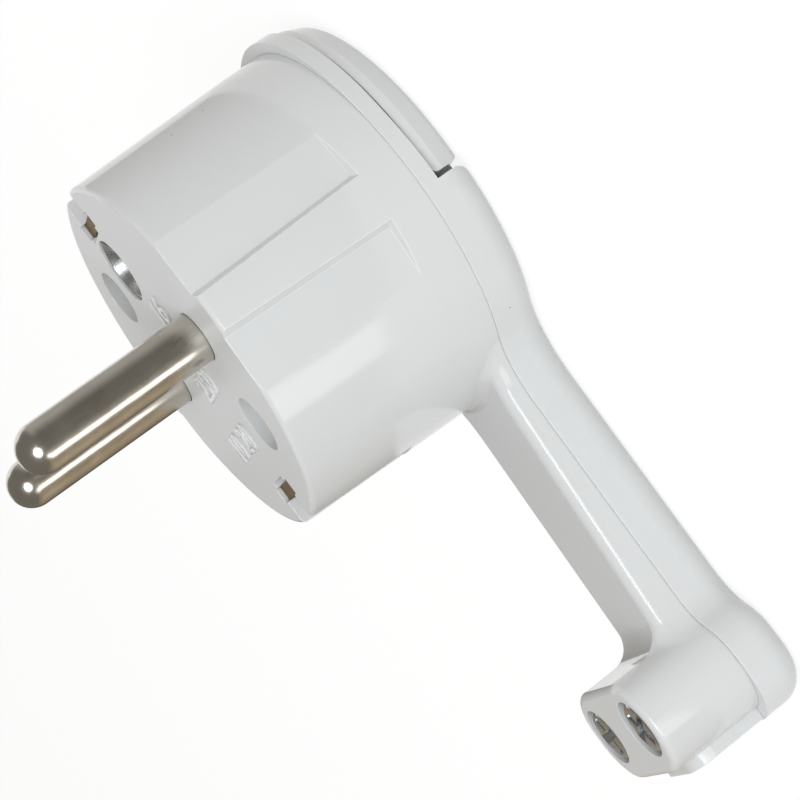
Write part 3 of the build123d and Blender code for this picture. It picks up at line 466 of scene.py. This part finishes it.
@dataclass
class CrossHeadScrew:
    """A pan-head screw with a tapered cross recess and a rolled thread, in the place of a CAD screw."""

    node: str
    head_height: float
    turned: float
    thread_radius: float = 1.48 * MM
    core_radius: float = 1.12 * MM
    pitch: float = 0.9 * MM
    wing_reach: float = 2.0 * MM
    wing_width: float = 1.0 * MM
    recess_depth: float = 1.35 * MM
    recess_taper: float = 0.5
    crown: float = 0.7 * MM
    segments: int = 64
    crown_segments: int = 6
    core_segments: int = 32
    steps_per_turn: int = 24
    point_length: float = 1.1
    point_scale: float = 0.3
    crest_root: float = 0.96
    crest_half_width: float = 0.36
    thread_start: float = 0.7
    smooth_angle: float = math.radians(38)

    def __post_init__(self) -> None:
        """Read the place and the sizes that the CAD screw fixes."""
        low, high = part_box(self.node)
        self.axis = (low + high) / 2
        self.head_radius = (high.x - low.x) / 2
        self.top = high.z
        self.tip = low.z

    def build(self, material: bpy.types.Material) -> bpy.types.Object:
        """Make the screw and put it in its place.

        Args:
            material: its finish.

        Returns:
            The screw.
        """
        shape = bmesh.new()
        self.add_head(shape)
        self.add_recess(shape)
        self.add_shank(shape)
        bmesh.ops.rotate(shape, verts=shape.verts, matrix=Matrix.Rotation(self.turned, 3, "Z"))
        bmesh.ops.translate(shape, verts=shape.verts, vec=Vector((self.axis.x, self.axis.y, self.top)))
        piece = keep(shape, self.node + "_crosshead", self.smooth_angle)
        piece.data.materials.append(material)
        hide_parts(self.node)
        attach(piece, Body.PLUG.value)
        LOG.info("%s built with %d faces", piece.name, len(piece.data.polygons))
        return piece

    def add_head(self, shape: bmesh.types.BMesh) -> None:
        """Add the head, a disc with a crowned rim. Its top is at height 0.

        Args:
            shape: the shape that it goes into.
        """
        ring = bmesh.ops.create_circle(
            shape, cap_ends=True, segments=self.segments, radius=self.head_radius
        )
        bottom = ring["verts"][0].link_faces[0]
        grown = bmesh.ops.extrude_face_region(shape, geom=[bottom], use_keep_orig=True)
        risen = [part for part in grown["geom"] if isinstance(part, bmesh.types.BMVert)]
        bmesh.ops.translate(shape, verts=risen, vec=Vector((0, 0, self.head_height)))
        bmesh.ops.translate(shape, verts=shape.verts, vec=Vector((0, 0, -self.head_height)))
        rim = [edge for edge in shape.edges if all(abs(vert.co.z) < TINY for vert in edge.verts)]
        bmesh.ops.bevel(
            shape,
            geom=rim,
            offset=self.crown,
            segments=self.crown_segments,
            profile=0.5,
            affect="EDGES",
            material=-1,
        )

    def add_recess(self, shape: bmesh.types.BMesh) -> None:
        """Sink the cross recess into the flat middle of the head.

        Args:
            shape: the shape with the head.
        """
        half = self.wing_width / 2
        for reach in (half, self.wing_reach):
            for side in (Vector((1, 0, 0)), Vector((-1, 0, 0)), Vector((0, 1, 0)), Vector((0, -1, 0))):
                flat = [face for face in shape.faces if face.calc_center_median().z > -TINY]
                geometry = flat + list({edge for face in flat for edge in face.edges})
                geometry += list({vert for face in flat for vert in face.verts})
                bmesh.ops.bisect_plane(
                    shape, geom=geometry, dist=CUT_TOLERANCE, plane_co=side * reach, plane_no=side
                )
        cross = []
        for face in shape.faces:
            middle = face.calc_center_median()
            across = sorted((abs(middle.x), abs(middle.y)))
            if middle.z > -TINY and across[0] < half and across[1] < self.wing_reach:
                cross.append(face)
        sunk = bmesh.ops.extrude_face_region(shape, geom=cross)
        floor = [part for part in sunk["geom"] if isinstance(part, bmesh.types.BMVert)]
        bmesh.ops.delete(shape, geom=cross, context="FACES_KEEP_BOUNDARY")
        bmesh.ops.translate(shape, verts=floor, vec=Vector((0, 0, -self.recess_depth)))
        bmesh.ops.scale(shape, verts=floor, vec=Vector((self.recess_taper, self.recess_taper, 1)))

    def add_shank(self, shape: bmesh.types.BMesh) -> None:
        """Add the core with its pointed end and the thread that winds round it.

        Args:
            shape: the shape with the head.
        """
        length = self.top - self.tip - self.head_height
        point = self.point_length * self.core_radius
        made = bmesh.ops.create_cone(
            shape,
            cap_ends=True,
            segments=self.core_segments,
            radius1=self.core_radius,
            radius2=self.core_radius,
            depth=length - point,
            matrix=Matrix.Translation((0, 0, -self.head_height - (length - point) / 2)),
        )
        end = min(made["verts"], key=lambda vert: vert.co.z).co.z
        tip_face = next(
            face for face in shape.faces if all(abs(vert.co.z - end) < TINY for vert in face.verts)
        )
        drawn = bmesh.ops.extrude_face_region(shape, geom=[tip_face])
        tip = [part for part in drawn["geom"] if isinstance(part, bmesh.types.BMVert)]
        bmesh.ops.delete(shape, geom=[tip_face], context="FACES_ONLY")
        bmesh.ops.translate(shape, verts=tip, vec=Vector((0, 0, -point)))
        bmesh.ops.scale(shape, verts=tip, vec=Vector((self.point_scale, self.point_scale, 1)))
        turns = int((length - 2 * point) / self.pitch)
        root = self.core_radius * self.crest_root
        crest = [(root, -self.crest_half_width), (self.thread_radius, 0.0), (root, self.crest_half_width)]
        start = -self.head_height - self.thread_start * self.pitch
        corners = [shape.verts.new((radius, 0, start + share * self.pitch)) for radius, share in crest]
        profile = [shape.edges.new(pair) for pair in zip(corners, corners[1:] + corners[:1])]
        bmesh.ops.spin(
            shape,
            geom=corners + profile,
            cent=Vector((0, 0, 0)),
            axis=Vector((0, 0, 1)),
            dvec=Vector((0, 0, -self.pitch / self.steps_per_turn)),
            angle=2 * math.pi * turns,
            steps=self.steps_per_turn * turns,
            use_duplicate=False,
        )
        ends = [edge for edge in shape.edges if edge.is_boundary]
        bmesh.ops.holes_fill(shape, edges=ends, sides=3)


@dataclass
class RaisedNumbers:
    """Plain raised numbers on the front face, polished where the face is textured."""

    name: str
    text: str
    centre: Pair
    turned: float
    size: float = 4.0 * MM
    rise: float = 0.16 * MM
    edge: float = 0.04 * MM
    edge_steps: int = 2
    curve_steps: int = 6
    smooth_angle: float = math.radians(30)

    def build(self, material: bpy.types.Material) -> bpy.types.Object:
        """Make the numbers as a mesh and lay them on the face.

        Args:
            material: their finish.

        Returns:
            The numbers.
        """
        outline = bpy.data.curves.new(self.name + "_outline", "FONT")
        outline.body = self.text
        outline.size = self.size
        outline.align_x = "CENTER"
        outline.align_y = "CENTER"
        outline.extrude = self.rise
        outline.bevel_depth = self.edge
        outline.bevel_resolution = self.edge_steps
        outline.resolution_u = self.curve_steps
        holder = bpy.data.objects.new(self.name + "_outline", outline)
        bpy.context.scene.collection.objects.link(holder)
        bpy.context.view_layer.update()
        graph = bpy.context.evaluated_depsgraph_get()
        raw = bpy.data.meshes.new_from_object(holder.evaluated_get(graph))
        bpy.data.objects.remove(holder)
        bpy.data.curves.remove(outline)
        shape = bmesh.new()
        shape.from_mesh(raw)
        bpy.data.meshes.remove(raw)
        face_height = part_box("front_body")[1].z
        bmesh.ops.rotate(shape, verts=shape.verts, matrix=Matrix.Rotation(self.turned, 3, "Z"))
        bmesh.ops.translate(shape, verts=shape.verts, vec=Vector((*self.centre, face_height)))
        piece = keep(shape, self.name, self.smooth_angle)
        piece.data.materials.append(material)
        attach(piece, Body.PLUG.value)
        LOG.info("%s built with %d faces", piece.name, len(piece.data.polygons))
        return piece


@dataclass
class Housing:
    """The front body, its rear cover and the pull handle, with the raised numbers on the front."""

    front: GlossPlastic = GlossPlastic("housing_gloss_white")
    cover: GlossPlastic = GlossPlastic("cover_gloss_white", (0.74, 0.75, 0.757))
    # The handle's edge turns pick out its crease for the painted edge highlight.
    grip: GlossPlastic = GlossPlastic(
        "handle_gloss_white", (0.73, 0.738, 0.742), gloss=(0.1, 0.17), edge_turns=(0.975, 0.998)
    )
    polished: GlossPlastic = GlossPlastic("number_gloss_white", front_roughness=0.12, specks=False)
    number_places: tuple[tuple[str, str, float, float, float], ...] = (
        ("number_current", "16", -4.3, 3.4, 90.0),
        ("number_voltage", "250", 3.2, 0.6, 90.0),
        ("number_cavity", "10 20", 9.2, -2.1, 90.0),
    )

    def build(self) -> None:
        """Dress the mouldings and add the numbers."""
        dress(("front_body",), self.front.material())
        dress(("rear_cover",), self.cover.material())
        dress(("pull_handle",), self.grip.material())
        finish = self.polished.material()
        for name, text, x, y, turned in self.number_places:
            RaisedNumbers(name, text, (x * MM, y * MM), math.radians(turned)).build(finish)


@dataclass
class Contacts:
    """The pins, the earth bracket and what holds the wires."""

    nickel: PlatedMetal = PlatedMetal(
        "pin_nickel_drawn", (0.72, 0.69, 0.63), (0.56, 0.51, 0.44), (0.16, 0.26), Brushing.ALONG_PINS
    )
    sleeve: PlatedMetal = PlatedMetal(
        "sleeve_nickel_plain", (0.62, 0.63, 0.64), (0.45, 0.45, 0.44), (0.22, 0.36), Brushing.ALONG_PINS
    )
    brass: PlatedMetal = PlatedMetal(
        "earth_brass_rolled", (0.32, 0.215, 0.09), (0.14, 0.09, 0.04), (0.4, 0.58), Brushing.ACROSS_STRIP
    )
    zinc: PlatedMetal = PlatedMetal(
        "terminal_zinc_bright", (0.66, 0.68, 0.7), (0.5, 0.51, 0.52), (0.2, 0.34), Brushing.NONE
    )

    def build(self) -> None:
        """Dress the contacts."""
        dress(("pin_live", "pin_neutral"), self.nickel.material())
        dress(("earth_sleeve",), self.sleeve.material())
        dress(("earth_strip", "earth_rivet", "earth_washer"), self.brass.material())
        dress(("terminal_screw_live", "terminal_screw_neutral", "earth_screw"), self.zinc.material())


@dataclass
class HousingScrews:
    """The four cross-head screws that hold the two halves and the cord."""

    zinc: PlatedMetal = PlatedMetal(
        "screw_zinc_dull", (0.62, 0.65, 0.69), (0.42, 0.44, 0.47), (0.08, 0.18), Brushing.NONE
    )
    cover_head: float = 2.2 * MM
    clamp_head: float = 2.0 * MM
    cover_turns: tuple[tuple[str, float], ...] = (("cover_screw_near", 18.0), ("cover_screw_far", 52.0))
    clamp_turns: tuple[tuple[str, float], ...] = (("clamp_screw_near", 33.0), ("clamp_screw_far", 8.0))

    def build(self) -> None:
        """Make the screws in place of the plain CAD ones."""
        finish = self.zinc.material()
        for node, turned in self.cover_turns:
            CrossHeadScrew(node, self.cover_head, math.radians(turned)).build(finish)
        for node, turned in self.clamp_turns:
            CrossHeadScrew(node, self.clamp_head, math.radians(turned)).build(finish)


@dataclass(frozen=True)
class Softbox:
    """One lamp: its place, what it points at, its size, light and colour."""

    name: str
    place: Triple
    aim: Triple
    size: Pair
    watts: float
    colour: Colour

    def build(self) -> bpy.types.Object:
        """Set up the lamp.

        Returns:
            The lamp.
        """
        light = bpy.data.lights.new(self.name, "AREA")
        light.shape = "ELLIPSE"
        light.size, light.size_y = self.size
        light.energy = self.watts
        light.color = self.colour
        lamp = bpy.data.objects.new(self.name, light)
        lamp.location = self.place
        lamp.rotation_euler = (Vector(self.aim) - Vector(self.place)).to_track_quat("-Z", "Y").to_euler()
        lamp.visible_camera = False
        bpy.context.scene.collection.objects.link(lamp)
        return lamp


@dataclass
class Studio:
    """The pale floor, the cards and tent of painted reflections that gloss meets, the room, the lamp and the
    camera.
    """

    floor_size: float = 8.0
    floor_colour: Colour = (0.86, 0.86, 0.85)
    floor_glow: float = 1.1
    shadow_share: float = 0.22
    room_colour: Colour = (1.0, 0.972, 0.942)
    room_level: float = 0.56
    tent_radius: float = 1.0
    # Painted reflections: glowing tones seen only in gloss, mostly dark, with a bright band from 0.584 to
    # 0.622 that stands in for a softbox.
    reflection_tone_above: Colour = (0.2, 0.187, 0.168)
    reflection_ring: tuple[tuple[float, Colour], ...] = (
        (0.0, (0.45, 0.44, 0.42)),
        (0.2, (0.45, 0.44, 0.42)),
        (0.25, (0.12, 0.1, 0.08)),
        (0.32, (0.14, 0.12, 0.1)),
        (0.36, (0.3, 0.25, 0.19)),
        (0.45, (0.5, 0.42, 0.31)),
        (0.53, (0.36, 0.3, 0.22)),
        (0.576, (0.3, 0.26, 0.2)),
        (0.584, (2.9, 2.88, 2.8)),
        (0.622, (2.9, 2.88, 2.8)),
        (0.63, (0.4, 0.37, 0.33)),
        (0.7, (0.19, 0.18, 0.165)),
        (0.86, (0.17, 0.16, 0.15)),
        (0.95, (0.42, 0.41, 0.39)),
    )
    tent_segments: int = 72
    tent_rows: int = 36
    ring_heights: Pair = (0.042, 0.28)
    card_centre: Pair = (0.017, 0.0)
    card_radius: float = 0.068
    card_height: float = 0.042
    gap_sides: Pair = (math.radians(178), math.radians(240))
    gap_heights: Pair = (math.radians(2), math.radians(32))
    camera_place: Triple = (0.0243717, 0.229625, 0.0743121)
    camera_right: Triple = (0.60066, 0.18222, -0.77846)
    camera_down: Triple = (0.79841, -0.18775, 0.5721)
    camera_forward: Triple = (-0.04191, -0.96517, -0.25826)
    camera_lens: float = 117.193
    camera_near: float = 0.01
    sensor: float = 36.0
    key: Softbox = Softbox(
        "key_softbox", (0.16, 0.54, 0.42), (0.02, 0.0, 0.02), (0.42, 0.36), 2.4, (0.91, 0.965, 1.0)
    )

    def build(self) -> None:
        """Set up everything round the object."""
        self.add_floor()
        self.add_tent()
        self.add_room()
        self.key.build()
        self.add_camera()

    def seen_white(self, tree: bpy.types.NodeTree) -> bpy.types.NodeSocket:
        """Which rays see the white background: those of the eye, of gloss and through glass.

        Args:
            tree: the nodes of the floor or of the world.

        Returns:
            A number, 1 for these rays and 0 for the rest.
        """
        rays = tree.nodes.new("ShaderNodeLightPath")
        either = tree.nodes.new("ShaderNodeMath")
        either.operation = "MAXIMUM"
        tree.links.new(rays.outputs["Is Camera Ray"], either.inputs[0])
        tree.links.new(rays.outputs["Is Glossy Ray"], either.inputs[1])
        seen = tree.nodes.new("ShaderNodeMath")
        seen.operation = "MAXIMUM"
        tree.links.new(either.outputs["Value"], seen.inputs[0])
        tree.links.new(rays.outputs["Is Transmission Ray"], seen.inputs[1])
        return seen.outputs["Value"]

    def add_floor(self) -> None:
        """Lay the floor, which looks white and keeps the object's shadow."""
        shape = bmesh.new()
        bmesh.ops.create_grid(shape, x_segments=1, y_segments=1, size=self.floor_size / 2)
        floor = keep(shape, "floor", math.pi)
        material = bpy.data.materials.new("floor_pale")
        material.use_nodes = True
        tree = material.node_tree
        tree.nodes.clear()
        paint = tree.nodes.new("ShaderNodeBsdfDiffuse")
        paint.inputs["Color"].default_value = (*self.floor_colour, 1.0)
        glow = tree.nodes.new("ShaderNodeEmission")
        glow.inputs["Strength"].default_value = self.floor_glow
        share = tree.nodes.new("ShaderNodeMath")
        share.operation = "MULTIPLY"
        share.inputs[1].default_value = 1.0 - self.shadow_share
        mixed = tree.nodes.new("ShaderNodeMixShader")
        out = tree.nodes.new("ShaderNodeOutputMaterial")
        tree.links.new(self.seen_white(tree), share.inputs[0])
        tree.links.new(share.outputs["Value"], mixed.inputs["Fac"])
        tree.links.new(paint.outputs["BSDF"], mixed.inputs[1])
        tree.links.new(glow.outputs["Emission"], mixed.inputs[2])
        tree.links.new(mixed.outputs["Shader"], out.inputs["Surface"])
        floor.data.materials.append(material)

    def add_tent(self) -> None:
        """Stand low cards and a tent round the plug, open at the back, for gloss alone: painted reflections
        in glowing tones.
        """
        shape = bmesh.new()
        bmesh.ops.create_uvsphere(
            shape, u_segments=self.tent_segments, v_segments=self.tent_rows, radius=self.tent_radius
        )
        bmesh.ops.create_cone(
            shape,
            cap_ends=False,
            segments=self.tent_segments,
            radius1=self.card_radius,
            radius2=self.card_radius,
            depth=self.card_height,
            matrix=Matrix.Translation((*self.card_centre, self.card_height / 2)),
        )
        gap = []
        for face in shape.faces:
            middle = face.calc_center_median().normalized()
            side = math.atan2(middle.x, middle.y) % (2 * math.pi)
            height = math.asin(middle.z)
            beside = self.gap_sides[0] < side < self.gap_sides[1]
            open_back = beside and self.gap_heights[0] < height < self.gap_heights[1]
            if open_back or height < 0:
                gap.append(face)
        bmesh.ops.delete(shape, geom=gap, context="FACES")
        tent = keep(shape, "painted_reflection_tent", math.pi)
        tent.visible_camera = False
        tent.visible_diffuse = False
        tent.visible_shadow = False
        tent.visible_transmission = False
        tent.data.materials.append(self.painted_reflection_tones())

    def painted_reflection_tones(self) -> bpy.types.Material:
        """Make the painted reflections of the cards and the tent: a ring of glowing tones low down, with a
        bright band that stands in for a softbox, and one tone above.

        Returns:
            The finished material.
        """
        material = bpy.data.materials.new("painted_reflection_tones")
        material.use_nodes = True
        tree = material.node_tree
        tree.nodes.clear()
        place = tree.nodes.new("ShaderNodeTexCoord")
        ring = tree.nodes.new("ShaderNodeTexGradient")
        ring.gradient_type = "RADIAL"
        tree.links.new(place.outputs["Object"], ring.inputs["Vector"])
        tones = tree.nodes.new("ShaderNodeValToRGB")
        stops = tones.color_ramp.elements
        stops[0].position, stops[0].color = self.reflection_ring[0][0], (*self.reflection_ring[0][1], 1.0)
        stops[1].position, stops[1].color = 1.0, (*self.reflection_ring[0][1], 1.0)
        for position, tone in self.reflection_ring[1:]:
            stops.new(position).color = (*tone, 1.0)
        tree.links.new(ring.outputs["Fac"], tones.inputs["Fac"])
        parts = tree.nodes.new("ShaderNodeSeparateXYZ")
        tree.links.new(place.outputs["Object"], parts.inputs["Vector"])
        height = tree.nodes.new("ShaderNodeMapRange")
        height.inputs["From Min"].default_value = self.ring_heights[0]
        height.inputs["From Max"].default_value = self.ring_heights[1]
        tree.links.new(parts.outputs["Z"], height.inputs["Value"])
        above = tree.nodes.new("ShaderNodeMixRGB")
        above.inputs["Color2"].default_value = (*self.reflection_tone_above, 1.0)
        tree.links.new(height.outputs["Result"], above.inputs["Fac"])
        tree.links.new(tones.outputs["Color"], above.inputs["Color1"])
        glow = tree.nodes.new("ShaderNodeEmission")
        tree.links.new(above.outputs["Color"], glow.inputs["Color"])
        out = tree.nodes.new("ShaderNodeOutputMaterial")
        tree.links.new(glow.outputs["Emission"], out.inputs["Surface"])
        return material

    def add_room(self) -> None:
        """Light the room softly, and make it white to the eye, to gloss and through glass."""
        world = bpy.data.worlds.new("studio_room")
        world.use_nodes = True
        bpy.context.scene.world = world
        tree = world.node_tree
        tree.nodes.clear()
        soft = tree.nodes.new("ShaderNodeBackground")
        soft.inputs["Color"].default_value = (*self.room_colour, 1.0)
        soft.inputs["Strength"].default_value = self.room_level
        white = tree.nodes.new("ShaderNodeBackground")
        white.inputs["Color"].default_value = (1.0, 1.0, 1.0, 1.0)
        mixed = tree.nodes.new("ShaderNodeMixShader")
        out = tree.nodes.new("ShaderNodeOutputWorld")
        tree.links.new(self.seen_white(tree), mixed.inputs["Fac"])
        tree.links.new(soft.outputs["Background"], mixed.inputs[1])
        tree.links.new(white.outputs["Background"], mixed.inputs[2])
        tree.links.new(mixed.outputs["Shader"], out.inputs["Surface"])

    def add_camera(self) -> None:
        """Set up the camera that sees what the photograph shows."""
        lens = bpy.data.cameras.new("photo_camera")
        lens.lens = self.camera_lens
        lens.sensor_width = self.sensor
        lens.clip_start = self.camera_near
        camera = bpy.data.objects.new("photo_camera", lens)
        columns = (
            Vector(self.camera_right).normalized(),
            -Vector(self.camera_down).normalized(),
            -Vector(self.camera_forward).normalized(),
        )
        turned = Matrix(columns).transposed().to_4x4()
        camera.matrix_world = Matrix.Translation(self.camera_place) @ turned
        bpy.context.scene.collection.objects.link(camera)
        bpy.context.scene.camera = camera


def main() -> None:
    """Build the looks in order."""
    logging.basicConfig(level=logging.INFO, format="%(name)s: %(message)s")
    bpy.context.scene.view_settings.view_transform = "Standard"
    Housing().build()
    Contacts().build()
    HousingScrews().build()
    Studio().build()


if __name__ == "__main__":
    main()
